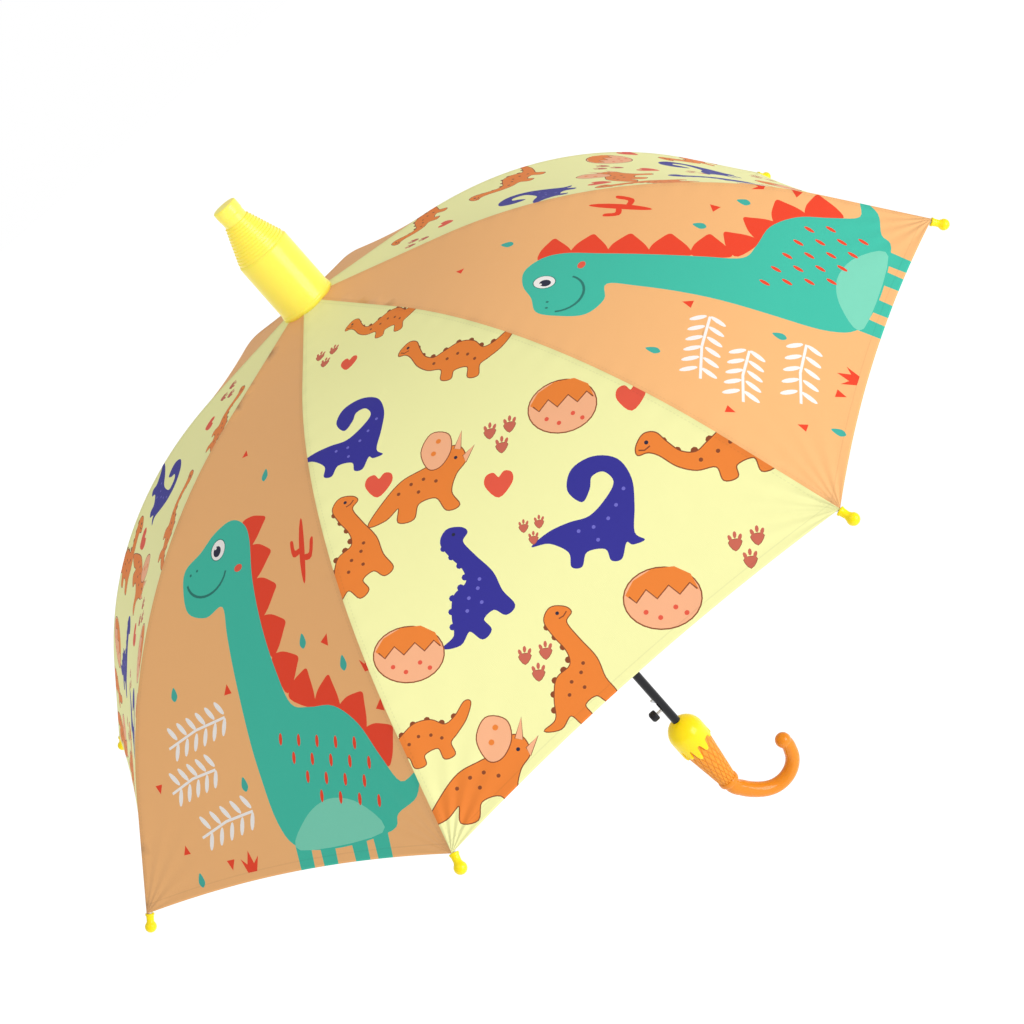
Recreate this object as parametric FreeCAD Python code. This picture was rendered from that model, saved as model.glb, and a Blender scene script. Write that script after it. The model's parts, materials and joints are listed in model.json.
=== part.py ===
"""Child's semi-automatic stick umbrella with eight ribs, modelled open.

Millimetres, +Z up along the shaft, origin on the shaft axis at the middle of the cone grip.
Ribs stand at azimuths 22.5, 67.5, ... degrees, numbered 1 to 8 anticlockwise from +X.
"""
import FreeCAD, Part
import math
import os

from FreeCAD import Vector

os.makedirs("parts", exist_ok=True)

# Canopy ridge, the line over each rib: a straight crown, one bend and a straight run to the tip.
RIBS = 8
FIRST_RIB_AZIMUTH = 22.5
HALF_GORE = 180.0 / RIBS
APEX_HEIGHT = 560.0
RIDGE_START_RADIUS = 9.8
CROWN_RUN = 108.0
CROWN_SLOPE = math.radians(11.0)
BEND_RUN = 294.0
HEM_SLOPE = math.radians(49.0)
BEND_RADIUS = BEND_RUN / (HEM_SLOPE - CROWN_SLOPE)
BEND_END = CROWN_RUN + BEND_RUN
TIP_LENGTH = 494.0

# Canopy cloth, as depths below the ridge line.
CLOTH_THICKNESS = 0.4
CLOTH_START = 1.2
CLOTH_END = 483.0
HEM_SCALLOP = 5.5

# Ribs and stretchers, pressed steel channels.
CHANNEL_WIDTH = 2.6
CHANNEL_HEIGHT = 2.4
CHANNEL_WALL = 0.5
RIB_TOP = 1.3
RIB_CENTRE = RIB_TOP + CHANNEL_HEIGHT / 2
RIB_END = 490.0
JOINT_LENGTH = 196.0
JOINT_GAP = 0.8
JOINT_DROP = 5.0
EAR_INNER = 1.6
EAR_OUTER = 2.2
EAR_BACK = 9.0
EAR_FRONT = 5.0
RIVET_RADIUS = 0.8
RIVET_HEAD_RADIUS = 1.5
RIVET_HEAD_HEIGHT = 0.5
EAR_DEPTH = 1.2
LUG_HALF_WIDTH = 2.4
CRIMP_SETBACK = 2.0
STRETCHER_WIDTH = 2.4
EYE_RADIUS = 1.8
RIB_EYE_RADIUS = 1.6
RIB_EYE_LINK = (0.5, 4.0)
CHANNEL_START = 3.0
PIN_RADIUS = 0.7
PIN_PLAY = 0.06
CUT_HALF_LENGTH = 5.0

# Tip caps.
CAP_START = 484.0
CAP_NECK_RADIUS = 2.8
CAP_BALL_RADIUS = 4.4
CAP_BORE_RADIUS = 1.85
CAP_BORE_PLAY = 0.3
CAP_LIP = 0.6
CAP_LIP_LENGTH = 1.6

# Shaft, notch and runner.
SHAFT_RADIUS = 4.0
SHAFT_BORE_RADIUS = 3.5
SHAFT_BOTTOM = -12.0
SHAFT_TOP = 648.0
FIT_PLAY = 0.05
PIVOT_RADIUS = 9.5
HUB_RADIUS = 12.5
HUB_SLOT_WIDTH = 3.2
HUB_SLOT_START = 7.4
HUB_PIN_BITE = 0.4
HUB_ABOVE_PIVOT = 1.2
NOTCH_RIM = 3.6
NOTCH_SLEEVE_RADIUS = 6.6
NOTCH_BELOW_PIVOT = 8.0
RUNNER_BELOW_PIVOT = 4.0
RUNNER_SLEEVE_RADIUS = 6.6
RUNNER_SLEEVE_LENGTH = 79.0
RUNNER_FOOT_RADIUS = 7.8
RUNNER_FOOT_HEIGHT = 6.0
DRIVE_PIN_DROP = 10.0
DRIVE_PIN_RADIUS = 0.9
DRIVE_SLOT_WIDTH = 2.4
DRIVE_SLOT_START = 2.0
DRIVE_SLOT_MARGIN = 3.0
CLOSED_LEAN = math.radians(4.0)

# Opening spring inside the shaft.
SPRING_SEAT = 98.0
SPRING_RADIUS = 2.6
SPRING_WIRE_RADIUS = 0.4
SPRING_TURNS = 40
SPRING_END_GAP = 0.1
SPRING_PIN_GAP = 0.3
SEAT_THICKNESS = 2.0

# Release lever inside the shaft, with its catch nose and push knob on the -X side.
LEVER_PIVOT_HEIGHT = 60.0
LEVER_TOP = 88.0
LEVER_INNER = -2.4
LEVER_OUTER = -3.0
LEVER_HALF_WIDTH = 1.3
LEVER_FOOT_RADIUS = 0.6
NOSE_HEIGHT = 85.0
NOSE_REACH = 6.0
NOSE_RAMP_BOTTOM = -3.4
NOSE_RAMP_TOP = 1.4
NOSE_TOP = 2.4
KNOB_HEIGHT = 73.5
STEM_RADIUS = 1.2
STEM_REACH = 11.0
KNOB_START = 8.6
KNOB_END = 15.8
KNOB_RADIUS = 4.9
KNOB_ROUNDING = 1.8
WINDOW_START = -5.0
WINDOW_DEPTH = 3.0
WINDOW_WIDTH = 3.6
WINDOW_HEIGHT = 8.4
WINDOW_DROP = 4.6
STEM_WINDOW_RADIUS = 2.0

# Telescopic drip cover, pushed together on top of the canopy.
COVER_BASE = APEX_HEIGHT - 2.1
COVER_RADIUS = 22.7
COVER_WALL = 0.62
COVER_LIP_RADIUS = 23.3
COVER_LIP_HEIGHT = 3.0
COVER_SHOULDER = APEX_HEIGHT + 52.0
COVER_SECTIONS = 12
COVER_STEP_RADIUS = 0.95
COVER_STEP_HEIGHT = 2.35
COVER_INNER_BASE = APEX_HEIGHT + 1.0
NECK_RADIUS = 10.25
NECK_TOP = APEX_HEIGHT + 95.0
NECK_WALL = 1.0
NECK_PLUG = 12.0

# Ice-cream handle: scoop, cone and hook. Drips as (azimuth, length).
SCOOP_HEIGHT = 38.5
SCOOP_RADIUS = 17.0
CONE_TOP = 32.0
CONE_TOP_RADIUS = 16.3
CONE_BOTTOM = -26.0
CONE_BOTTOM_RADIUS = 8.8
DRIPS = (
    (251, 13.0), (285, 8.5), (222, 9.0), (190, 12.0), (160, 6.0), (128, 11.0),
    (97, 14.0), (66, 7.5), (35, 12.0), (3, 7.0), (330, 4.0),
)
DRIP_RADIUS = 3.4
DRIP_PROUD = 2.0
COLLAR_RADIUS = 9.8
COLLAR_BOTTOM = -31.0
HOOK_START_RADIUS = 7.6
HOOK_END_RADIUS = 6.3
HOOK_DROP = 2.0
HOOK_ENTRY_RADIUS = 20.4
HOOK_ENTRY_TURN = math.radians(40.0)
HOOK_RUN = 18.4
HOOK_BEND_RADIUS = 26.0
HOOK_TURN = math.radians(198.0)
HOOK_BALL_RADIUS = 7.4
HOOK_SECTIONS = 16

AXIS = Vector(0, 0, 1)
SIDEWAYS = Vector(0, 1, 0)


def export(name, shape):
    shape.exportStep(f"parts/{name}.step")


def cylinder(radius, bottom, top):
    return Part.makeCylinder(radius, top - bottom, Vector(0, 0, bottom), AXIS)


def tube(outer, inner, bottom, top):
    return cylinder(outer, bottom, top).cut(cylinder(inner, bottom - 1, top + 1))


def crosspin(centre, radius, half_length):
    """Cylinder along Y through a point of the rib plane."""
    start = centre - SIDEWAYS * half_length
    return Part.makeCylinder(radius, 2 * half_length, start, SIDEWAYS)


def fused(shapes):
    return shapes[0].multiFuse(shapes[1:]).removeSplitter()


def at_rib(shape, number):
    """Copy of a shape made in the XZ plane, turned to the azimuth of one rib."""
    azimuth = FIRST_RIB_AZIMUTH + 2 * HALF_GORE * (number - 1)
    return shape.rotated(Vector(0, 0, 0), AXIS, azimuth)


# --- Ridge line -------------------------------------------------------------------------------

def ridge_point(length, depth):
    """Point of the rib plane at a length along the ridge and a depth below it."""
    crown = min(length, CROWN_RUN)
    turned = min(max(length - CROWN_RUN, 0.0), BEND_RUN) / BEND_RADIUS
    hem = max(length - BEND_END, 0.0)
    slope = CROWN_SLOPE + turned
    radius = RIDGE_START_RADIUS + crown * math.cos(CROWN_SLOPE)
    radius += BEND_RADIUS * (math.sin(slope) - math.sin(CROWN_SLOPE)) + hem * math.cos(slope)
    height = APEX_HEIGHT - crown * math.sin(CROWN_SLOPE)
    height -= BEND_RADIUS * (math.cos(CROWN_SLOPE) - math.cos(slope)) + hem * math.sin(slope)
    return Vector(radius - depth * math.sin(slope), 0, height - depth * math.cos(slope))


def ridge_edges(start, end, depth):
    """Line and arc edges along the ridge between two lengths, at one depth."""
    stops = [start] + [s for s in (CROWN_RUN, BEND_END) if start < s < end] + [end]
    edges = []
    for a, b in zip(stops, stops[1:]):
        first, last = ridge_point(a, depth), ridge_point(b, depth)
        if a >= CROWN_RUN and b <= BEND_END:
            edges.append(Part.Arc(first, ridge_point((a + b) / 2, depth), last).toShape())
        else:
            edges.append(Part.makeLine(first, last))
    return edges


def ridge_face(start, end, top, bottom):
    """Face in the rib plane between two lengths and two depths."""
    edges = ridge_edges(start, end, top) + ridge_edges(start, end, bottom)
    edges += [Part.makeLine(ridge_point(s, top), ridge_point(s, bottom)) for s in (start, end)]
    return Part.Face(Part.Wire(Part.__sortEdges__(edges)))


def ridge_bar(start, end, top, bottom, side, width):
    """Bar that follows the ridge, from a side position over a width along Y."""
    face = ridge_face(start, end, top, bottom)
    face.translate(SIDEWAYS * side)
    return face.extrude(SIDEWAYS * width)


def ridge_channel(start, end):
    """Pressed channel, open below, along the ridge."""
    half = CHANNEL_WIDTH / 2
    bottom = RIB_TOP + CHANNEL_HEIGHT
    web = ridge_bar(start, end, RIB_TOP, RIB_TOP + CHANNEL_WALL, -half, CHANNEL_WIDTH)
    walls = [
        ridge_bar(start, end, RIB_TOP, bottom, side, CHANNEL_WALL)
        for side in (-half, half - CHANNEL_WALL)
    ]
    return fused([web] + walls)


# The pivots of one rib and its stretcher: an isosceles triangle that stays isosceles as it folds.
NOTCH_PIVOT = Vector(PIVOT_RADIUS, 0, ridge_point(0.0, RIB_CENTRE).z)
RIB_JOINT = ridge_point(JOINT_LENGTH, RIB_CENTRE)
STRETCHER_PIVOT = ridge_point(JOINT_LENGTH, RIB_CENTRE + JOINT_DROP)
RUNNER_PIVOT = Vector(PIVOT_RADIUS, 0, 2 * STRETCHER_PIVOT.z - NOTCH_PIVOT.z)
LINK_LENGTH = (STRETCHER_PIVOT - NOTCH_PIVOT).Length
RUNNER_CLOSED = NOTCH_PIVOT.z - 2 * LINK_LENGTH * math.cos(CLOSED_LEAN)


# --- Rib, stretcher and canopy ----------------------------------------------------------------

def inner_rib():
    """Channel from the notch eye to the stretcher joint, with two pressed ears."""
    bottom = RIB_TOP + CHANNEL_HEIGHT
    ear_start = JOINT_LENGTH - EAR_BACK
    ear_end = JOINT_LENGTH + EAR_FRONT
    lug_start = JOINT_LENGTH - LUG_HALF_WIDTH
    lug_end = JOINT_LENGTH + LUG_HALF_WIDTH
    lug_bottom = RIB_CENTRE + JOINT_DROP
    thickness = EAR_OUTER - EAR_INNER
    crimp = EAR_INNER - CHANNEL_WIDTH / 2
    eye = crosspin(NOTCH_PIVOT, RIB_EYE_RADIUS, STRETCHER_WIDTH / 2)
    link = ridge_bar(*RIB_EYE_LINK, RIB_TOP, bottom, -STRETCHER_WIDTH / 2, STRETCHER_WIDTH)
    pieces = [ridge_channel(CHANNEL_START, JOINT_LENGTH - JOINT_GAP), eye, link]
    for side in (-EAR_OUTER, EAR_INNER):
        ear = ridge_bar(ear_start, ear_end, RIB_TOP, RIB_CENTRE + EAR_DEPTH, side, thickness)
        lug = ridge_bar(lug_start, lug_end, RIB_CENTRE, lug_bottom, side, thickness)
        boss_start = STRETCHER_PIVOT + SIDEWAYS * side
        pieces += [ear, lug, Part.makeCylinder(LUG_HALF_WIDTH, thickness, boss_start, SIDEWAYS)]
    for side in (-EAR_INNER, CHANNEL_WIDTH / 2):
        crimp_end = JOINT_LENGTH - CRIMP_SETBACK
        pieces.append(ridge_bar(ear_start, crimp_end, RIB_TOP, bottom, side, crimp))
    rib = fused(pieces)
    rib = rib.cut(crosspin(NOTCH_PIVOT, PIN_RADIUS + PIN_PLAY, CUT_HALF_LENGTH))
    return rib.cut(crosspin(STRETCHER_PIVOT, RIVET_RADIUS, CUT_HALF_LENGTH))


def outer_rib():
    return ridge_channel(JOINT_LENGTH + JOINT_GAP, RIB_END)


def rib_rivet():
    """Shank through the ears and the stretcher's eye, with a head on each side."""
    pieces = [crosspin(STRETCHER_PIVOT, RIVET_RADIUS, EAR_OUTER)]
    for side in (EAR_OUTER, -EAR_OUTER - RIVET_HEAD_HEIGHT):
        start = STRETCHER_PIVOT + SIDEWAYS * side
        pieces.append(Part.makeCylinder(RIVET_HEAD_RADIUS, RIVET_HEAD_HEIGHT, start, SIDEWAYS))
    return fused(pieces)


def stretcher():
    """Channel from the runner pivot to the rib joint, with an eye at each end."""
    half = STRETCHER_WIDTH / 2
    run = STRETCHER_PIVOT - RUNNER_PIVOT
    inset = half - CHANNEL_WALL
    web = Part.makeBox(run.Length, STRETCHER_WIDTH, CHANNEL_WALL, Vector(0, -half, inset))
    walls = [
        Part.makeBox(run.Length, CHANNEL_WALL, STRETCHER_WIDTH, Vector(0, side, -half))
        for side in (-half, inset)
    ]
    bar = fused([web] + walls)
    bar.rotate(Vector(0, 0, 0), SIDEWAYS, -math.degrees(math.atan2(run.z, run.x)))
    bar.translate(RUNNER_PIVOT)
    eyes = [crosspin(point, EYE_RADIUS, half) for point in (RUNNER_PIVOT, STRETCHER_PIVOT)]
    bar = fused([bar] + eyes)
    bar = bar.cut(crosspin(RUNNER_PIVOT, PIN_RADIUS + PIN_PLAY, CUT_HALF_LENGTH))
    return bar.cut(crosspin(STRETCHER_PIVOT, RIVET_RADIUS + PIN_PLAY, CUT_HALF_LENGTH))


def tip_cap():
    """Turned cap: a neck over the rib end and a ball."""
    start = ridge_point(CAP_START, RIB_CENTRE)
    centre = ridge_point(TIP_LENGTH, RIB_CENTRE)
    along = (centre - start).normalize()
    neck = Part.makeCylinder(CAP_NECK_RADIUS, (centre - start).Length, start, along)
    lip_radius = CAP_NECK_RADIUS + CAP_LIP
    flare = Part.makeCone(lip_radius, CAP_NECK_RADIUS, CAP_LIP_LENGTH, start, along)
    ball = Part.makeSphere(CAP_BALL_RADIUS, centre)
    bore_length = RIB_END + CAP_BORE_PLAY - CAP_START
    bore = Part.makeCylinder(CAP_BORE_RADIUS, bore_length, start, along)
    return fused([neck, flare, ball]).cut(bore)


def canopy_strip():
    """Cloth over one rib, out to the middle of the gore on each side, with a scalloped hem."""
    reach = TIP_LENGTH
    half = math.radians(HALF_GORE)
    chord = Vector(-math.sin(half), math.cos(half), 0)
    sheet = ridge_face(CLOTH_START, CLOTH_END, 0.0, CLOTH_THICKNESS).extrude(chord * reach)
    corners = [Vector(0, 0, 0), Vector(reach, 0, 0), Vector(reach, reach * math.tan(half), 0)]
    wedge = Part.Face(Part.makePolygon(corners + corners[:1])).extrude(AXIS * (APEX_HEIGHT + 10))
    sheet = sheet.common(wedge)
    corner = ridge_point(CLOTH_END, 0.0).x
    half_chord = corner * math.sin(half)
    scallop_radius = (half_chord**2 + HEM_SCALLOP**2) / (2 * HEM_SCALLOP)
    distance = corner * math.cos(half) - HEM_SCALLOP + scallop_radius
    centre = Vector(distance * math.cos(half), distance * math.sin(half), 0)
    scallop = Part.makeCylinder(scallop_radius, APEX_HEIGHT, centre, AXIS)
    sheet = sheet.cut(scallop)
    return fused([sheet, sheet.mirror(Vector(0, 0, 0), SIDEWAYS)])


# --- Shaft, notch, runner, spring and release ----------------------------------------------------

def slotted_hub(pivot_height, bottom, sleeve_bottom, sleeve_radius):
    """Slotted disc with a pin across each slot, on a sleeve that fits the shaft."""
    top = pivot_height + HUB_ABOVE_PIVOT
    hub = fused([cylinder(HUB_RADIUS, bottom, top), cylinder(sleeve_radius, sleeve_bottom, top)])
    hub = hub.cut(cylinder(SHAFT_RADIUS + FIT_PLAY, sleeve_bottom - 1, top + 1))
    slot_corner = Vector(HUB_SLOT_START, -HUB_SLOT_WIDTH / 2, bottom - 1)
    slot = Part.makeBox(HUB_RADIUS, HUB_SLOT_WIDTH, top - bottom + 2, slot_corner)
    pin = crosspin(Vector(PIVOT_RADIUS, 0, pivot_height), PIN_RADIUS, HUB_SLOT_WIDTH / 2 + HUB_PIN_BITE)
    numbers = range(1, RIBS + 1)
    hub = hub.cut(at_rib(slot, 1).multiFuse([at_rib(slot, n) for n in numbers[1:]]))
    return fused([hub] + [at_rib(pin, n) for n in numbers])


def shaft_tube():
    """Steel tube with the runner slot on the +Y side and the release windows on the -X side."""
    shaft = tube(SHAFT_RADIUS, SHAFT_BORE_RADIUS, SHAFT_BOTTOM, SHAFT_TOP)
    seat_radius = (SHAFT_RADIUS + SHAFT_BORE_RADIUS) / 2
    shaft = fused([shaft, cylinder(seat_radius, SPRING_SEAT - SEAT_THICKNESS, SPRING_SEAT)])
    slot_bottom = RUNNER_CLOSED - DRIVE_PIN_DROP - DRIVE_SLOT_MARGIN
    slot_top = RUNNER_PIVOT.z - DRIVE_PIN_DROP + DRIVE_SLOT_MARGIN
    slot_corner = Vector(-DRIVE_SLOT_WIDTH / 2, DRIVE_SLOT_START, slot_bottom)
    slot = Part.makeBox(DRIVE_SLOT_WIDTH, SHAFT_RADIUS, slot_top - slot_bottom, slot_corner)
    window_corner = Vector(WINDOW_START, -WINDOW_WIDTH / 2, NOSE_HEIGHT - WINDOW_DROP)
    nose_window = Part.makeBox(WINDOW_DEPTH, WINDOW_WIDTH, WINDOW_HEIGHT, window_corner)
    stem_start = Vector(WINDOW_START, 0, KNOB_HEIGHT)
    stem_window = Part.makeCylinder(STEM_WINDOW_RADIUS, WINDOW_DEPTH, stem_start, Vector(1, 0, 0))
    return shaft.cut(slot).cut(nose_window).cut(stem_window)


def top_notch():
    pivot = NOTCH_PIVOT.z
    bottom = pivot - NOTCH_BELOW_PIVOT
    return slotted_hub(pivot, pivot - NOTCH_RIM, bottom, NOTCH_SLEEVE_RADIUS)


def runner():
    """Slotted hub and sleeve with a foot ring, and the pin that reaches the spring."""
    pivot = RUNNER_PIVOT.z
    bottom = pivot - RUNNER_SLEEVE_LENGTH
    sleeve = slotted_hub(pivot, pivot - RUNNER_BELOW_PIVOT, bottom, RUNNER_SLEEVE_RADIUS)
    foot = tube(RUNNER_FOOT_RADIUS, SHAFT_RADIUS + FIT_PLAY, bottom, bottom + RUNNER_FOOT_HEIGHT)
    pin_start = Vector(0, 0, pivot - DRIVE_PIN_DROP)
    pin = Part.makeCylinder(DRIVE_PIN_RADIUS, RUNNER_SLEEVE_RADIUS, pin_start, SIDEWAYS)
    return fused([sleeve, foot, pin])


def opening_spring():
    """Compression coil between the seat in the shaft and the runner's pin."""
    bottom = SPRING_SEAT + SPRING_WIRE_RADIUS + SPRING_END_GAP
    pin_bottom = RUNNER_PIVOT.z - DRIVE_PIN_DROP - DRIVE_PIN_RADIUS
    top = pin_bottom - SPRING_WIRE_RADIUS - SPRING_PIN_GAP
    helix = Part.makeHelix((top - bottom) / SPRING_TURNS, top - bottom, SPRING_RADIUS)
    helix.translate(AXIS * bottom)
    start = Vector(SPRING_RADIUS, 0, bottom)
    ring = Part.Wire(Part.makeCircle(SPRING_WIRE_RADIUS, start, SIDEWAYS))
    return Part.Wire(helix).makePipeShell([ring], True, True)


def release_lever():
    """Spring strip with a catch nose and a stem for the knob."""
    width = 2 * LEVER_HALF_WIDTH
    thickness = LEVER_INNER - LEVER_OUTER
    strip_corner = Vector(LEVER_OUTER, -LEVER_HALF_WIDTH, LEVER_PIVOT_HEIGHT)
    strip = Part.makeBox(thickness, width, LEVER_TOP - LEVER_PIVOT_HEIGHT, strip_corner)
    foot = crosspin(Vector(LEVER_INNER, 0, LEVER_PIVOT_HEIGHT), LEVER_FOOT_RADIUS, LEVER_HALF_WIDTH)
    nose_profile = [
        Vector(LEVER_INNER, -LEVER_HALF_WIDTH, NOSE_HEIGHT + NOSE_RAMP_BOTTOM),
        Vector(-NOSE_REACH, -LEVER_HALF_WIDTH, NOSE_HEIGHT + NOSE_RAMP_TOP),
        Vector(-NOSE_REACH, -LEVER_HALF_WIDTH, NOSE_HEIGHT + NOSE_TOP),
        Vector(LEVER_INNER, -LEVER_HALF_WIDTH, NOSE_HEIGHT + NOSE_TOP),
    ]
    nose = Part.Face(Part.makePolygon(nose_profile + nose_profile[:1])).extrude(SIDEWAYS * width)
    stem_start = Vector(-STEM_REACH, 0, KNOB_HEIGHT)
    stem = Part.makeCylinder(STEM_RADIUS, STEM_REACH + LEVER_INNER, stem_start, Vector(1, 0, 0))
    return fused([strip, foot, nose, stem])


def release_knob():
    start = Vector(-KNOB_END, 0, KNOB_HEIGHT)
    knob = Part.makeCylinder(KNOB_RADIUS, KNOB_END - KNOB_START, start, Vector(1, 0, 0))
    rims = [edge for edge in knob.Edges if edge.Curve.TypeId == "Part::GeomCircle"]
    knob = knob.makeFillet(KNOB_ROUNDING, rims)
    bore_start = Vector(-STEM_REACH, 0, KNOB_HEIGHT)
    bore = Part.makeCylinder(STEM_RADIUS, KNOB_END, bore_start, Vector(1, 0, 0))
    return knob.cut(bore)


# --- Drip cover -------------------------------------------------------------------------------

def cover_outer():
    """Widest section, with its lip resting over the crown of the canopy."""
    wall = tube(COVER_RADIUS, COVER_RADIUS - COVER_WALL, COVER_BASE, COVER_SHOULDER)
    lip_top = COVER_BASE + COVER_LIP_HEIGHT
    lip = tube(COVER_LIP_RADIUS, COVER_RADIUS - COVER_WALL, COVER_BASE, lip_top)
    return fused([wall, lip])


def cover_sections():
    """The nested sections between the widest one and the neck, each standing one step higher."""
    sections = []
    for step in range(1, COVER_SECTIONS + 1):
        outer = COVER_RADIUS - COVER_STEP_RADIUS * step
        top = COVER_SHOULDER + COVER_STEP_HEIGHT * step
        sections.append(tube(outer, outer - COVER_WALL, COVER_INNER_BASE, top))
    return Part.Compound(sections)


def cover_neck():
    """Closed top section, whose plug holds the end of the shaft."""
    neck = tube(NECK_RADIUS, NECK_RADIUS - NECK_WALL, COVER_INNER_BASE, NECK_TOP)
    plug = cylinder(NECK_RADIUS, NECK_TOP - NECK_PLUG, NECK_TOP)
    neck = fused([neck, plug])
    return neck.cut(cylinder(SHAFT_RADIUS + FIT_PLAY, COVER_INNER_BASE, SHAFT_TOP + FIT_PLAY))


# --- Handle -----------------------------------------------------------------------------------

def cone_solid():
    height = CONE_TOP - CONE_BOTTOM
    return Part.makeCone(CONE_BOTTOM_RADIUS, CONE_TOP_RADIUS, height, Vector(0, 0, CONE_BOTTOM), AXIS)


def handle_cone():
    collar = cylinder(COLLAR_RADIUS, COLLAR_BOTTOM, CONE_BOTTOM + 1)
    cone = fused([cone_solid(), collar])
    return cone.cut(cylinder(SHAFT_RADIUS + FIT_PLAY, SHAFT_BOTTOM - FIT_PLAY, CONE_TOP + 1))


def handle_scoop():
    """Ball of ice cream with drips that run down over the cone."""
    lean = math.atan2(CONE_TOP_RADIUS - CONE_BOTTOM_RADIUS, CONE_TOP - CONE_BOTTOM)
    top = Vector(CONE_TOP_RADIUS - DRIP_RADIUS + DRIP_PROUD, 0, CONE_TOP)
    down = Vector(-math.sin(lean), 0, -math.cos(lean))
    pieces = [Part.makeSphere(SCOOP_RADIUS, Vector(0, 0, SCOOP_HEIGHT))]
    for azimuth, length in DRIPS:
        drip = Part.makeCylinder(DRIP_RADIUS, length, top, down)
        head = Part.makeSphere(DRIP_RADIUS, top)
        end = Part.makeSphere(DRIP_RADIUS, top + down * length)
        pieces += [piece.rotated(Vector(0, 0, 0), AXIS, azimuth) for piece in (drip, head, end)]
    scoop = fused(pieces).cut(cone_solid())
    bore = cylinder(SHAFT_RADIUS + FIT_PLAY, 0, SCOOP_HEIGHT + SCOOP_RADIUS + 1)
    return scoop.cut(bore)


def hook_point(share):
    """Centre and turn of the hook: a short bend, a straight run and the round bend."""
    entry = HOOK_ENTRY_RADIUS * HOOK_ENTRY_TURN
    bend = HOOK_BEND_RADIUS * (HOOK_TURN - HOOK_ENTRY_TURN)
    length = share * (entry + HOOK_RUN + bend)
    turn = min(length, entry) / HOOK_ENTRY_RADIUS
    out = HOOK_ENTRY_RADIUS * (1 - math.cos(turn))
    down = HOOK_ENTRY_RADIUS * math.sin(turn)
    run = min(max(length - entry, 0.0), HOOK_RUN)
    out += run * math.sin(turn)
    down += run * math.cos(turn)
    last = turn + max(length - entry - HOOK_RUN, 0.0) / HOOK_BEND_RADIUS
    out += HOOK_BEND_RADIUS * (math.cos(turn) - math.cos(last))
    down += HOOK_BEND_RADIUS * (math.sin(last) - math.sin(turn))
    return Vector(out, 0, COLLAR_BOTTOM - HOOK_DROP - down), last


def handle_hook():
    """Tapered hook from under the collar, turned towards +X, with a ball at its end."""
    rings = [Part.Wire(Part.makeCircle(HOOK_START_RADIUS, Vector(0, 0, COLLAR_BOTTOM), AXIS * -1))]
    for step in range(HOOK_SECTIONS + 1):
        share = step / HOOK_SECTIONS
        centre, turn = hook_point(share)
        tangent = Vector(math.sin(turn), 0, -math.cos(turn))
        radius = HOOK_START_RADIUS + (HOOK_END_RADIUS - HOOK_START_RADIUS) * share
        rings.append(Part.Wire(Part.makeCircle(radius, centre, tangent)))
    ball = Part.makeSphere(HOOK_BALL_RADIUS, hook_point(1.0)[0])
    return fused([Part.makeLoft(rings, True), ball])


for rib_number in range(1, RIBS + 1):
    for part_name, maker in (
        ("rib_inner", inner_rib),
        ("rib_outer", outer_rib),
        ("rib_rivet", rib_rivet),
        ("stretcher", stretcher),
        ("tip_cap", tip_cap),
        ("canopy", canopy_strip),
    ):
        export(f"{part_name}_{rib_number}", at_rib(maker(), rib_number))

export("shaft_tube", shaft_tube())
export("top_notch", top_notch())
export("runner", runner())
export("opening_spring", opening_spring())
export("release_lever", release_lever())
export("release_knob", release_knob())
export("drip_cover_outer", cover_outer())
export("drip_cover_sections", cover_sections())
export("drip_cover_neck", cover_neck())
export("handle_scoop", handle_scoop())
export("handle_cone", handle_cone())
export("handle_hook", handle_hook())
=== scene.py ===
"""Looks of the child's stick umbrella: printed canopy, drip cover, tip caps and ice-cream handle."""

import json
import math
from functools import partial

import bpy
import numpy as np
from mathutils import Matrix, Vector
from mathutils.geometry import delaunay_2d_cdt

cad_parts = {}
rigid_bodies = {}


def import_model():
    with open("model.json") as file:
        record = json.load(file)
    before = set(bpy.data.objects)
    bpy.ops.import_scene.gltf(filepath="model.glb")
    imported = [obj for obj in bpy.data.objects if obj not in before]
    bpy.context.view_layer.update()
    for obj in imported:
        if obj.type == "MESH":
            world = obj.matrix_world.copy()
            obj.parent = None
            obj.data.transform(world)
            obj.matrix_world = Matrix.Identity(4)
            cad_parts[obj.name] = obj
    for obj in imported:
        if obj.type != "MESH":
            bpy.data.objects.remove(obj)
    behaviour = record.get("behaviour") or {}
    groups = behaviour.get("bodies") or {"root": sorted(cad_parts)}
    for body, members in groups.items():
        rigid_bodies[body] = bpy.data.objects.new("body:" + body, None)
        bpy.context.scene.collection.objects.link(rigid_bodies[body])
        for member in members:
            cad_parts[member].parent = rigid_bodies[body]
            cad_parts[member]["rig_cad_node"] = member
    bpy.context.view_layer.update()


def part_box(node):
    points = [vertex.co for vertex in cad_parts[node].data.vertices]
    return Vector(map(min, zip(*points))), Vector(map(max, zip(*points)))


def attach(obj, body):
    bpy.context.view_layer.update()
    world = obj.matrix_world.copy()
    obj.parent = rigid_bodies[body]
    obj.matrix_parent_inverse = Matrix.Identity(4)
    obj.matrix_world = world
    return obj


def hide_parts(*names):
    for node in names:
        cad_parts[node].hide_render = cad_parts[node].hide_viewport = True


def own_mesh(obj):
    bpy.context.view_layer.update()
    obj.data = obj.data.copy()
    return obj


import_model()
MM = 0.001

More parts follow.
